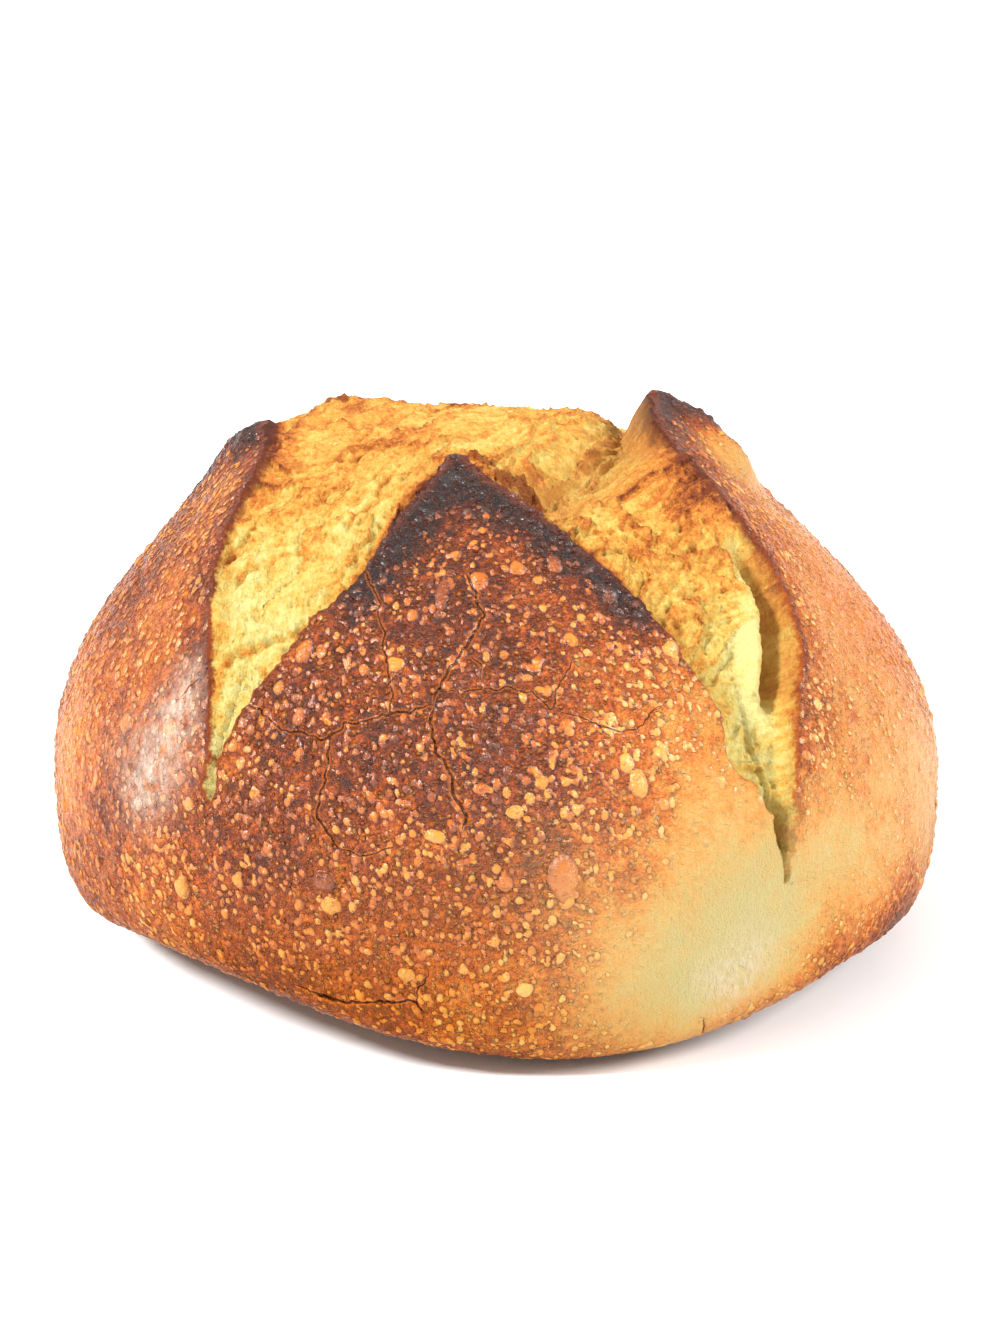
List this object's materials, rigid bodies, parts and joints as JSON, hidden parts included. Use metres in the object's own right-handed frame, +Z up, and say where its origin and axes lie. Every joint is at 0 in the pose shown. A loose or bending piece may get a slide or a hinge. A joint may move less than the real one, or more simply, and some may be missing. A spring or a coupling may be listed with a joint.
{
  "type": "boule bread loaf",
  "caption": "Round crusty loaf with a domed top torn open along a cross-shaped cut, raised pointed flaps of crust and a flat base it rests on.",
  "frame": {"origin": "centre of the loaf's base, on the surface it rests on", "axes": "+Z up through the domed top, -Y towards the flap of crust between the two front cuts, +X to the right of it"},
  "size_m": [0.2106, 0.2105, 0.1265],
  "materials": {
    "crust": "browned crust, half matt, with pale open crumb in the tears"
  },
  "bodies": {
    "root": {"boule": "crust"}
  },
  "joints": []
}
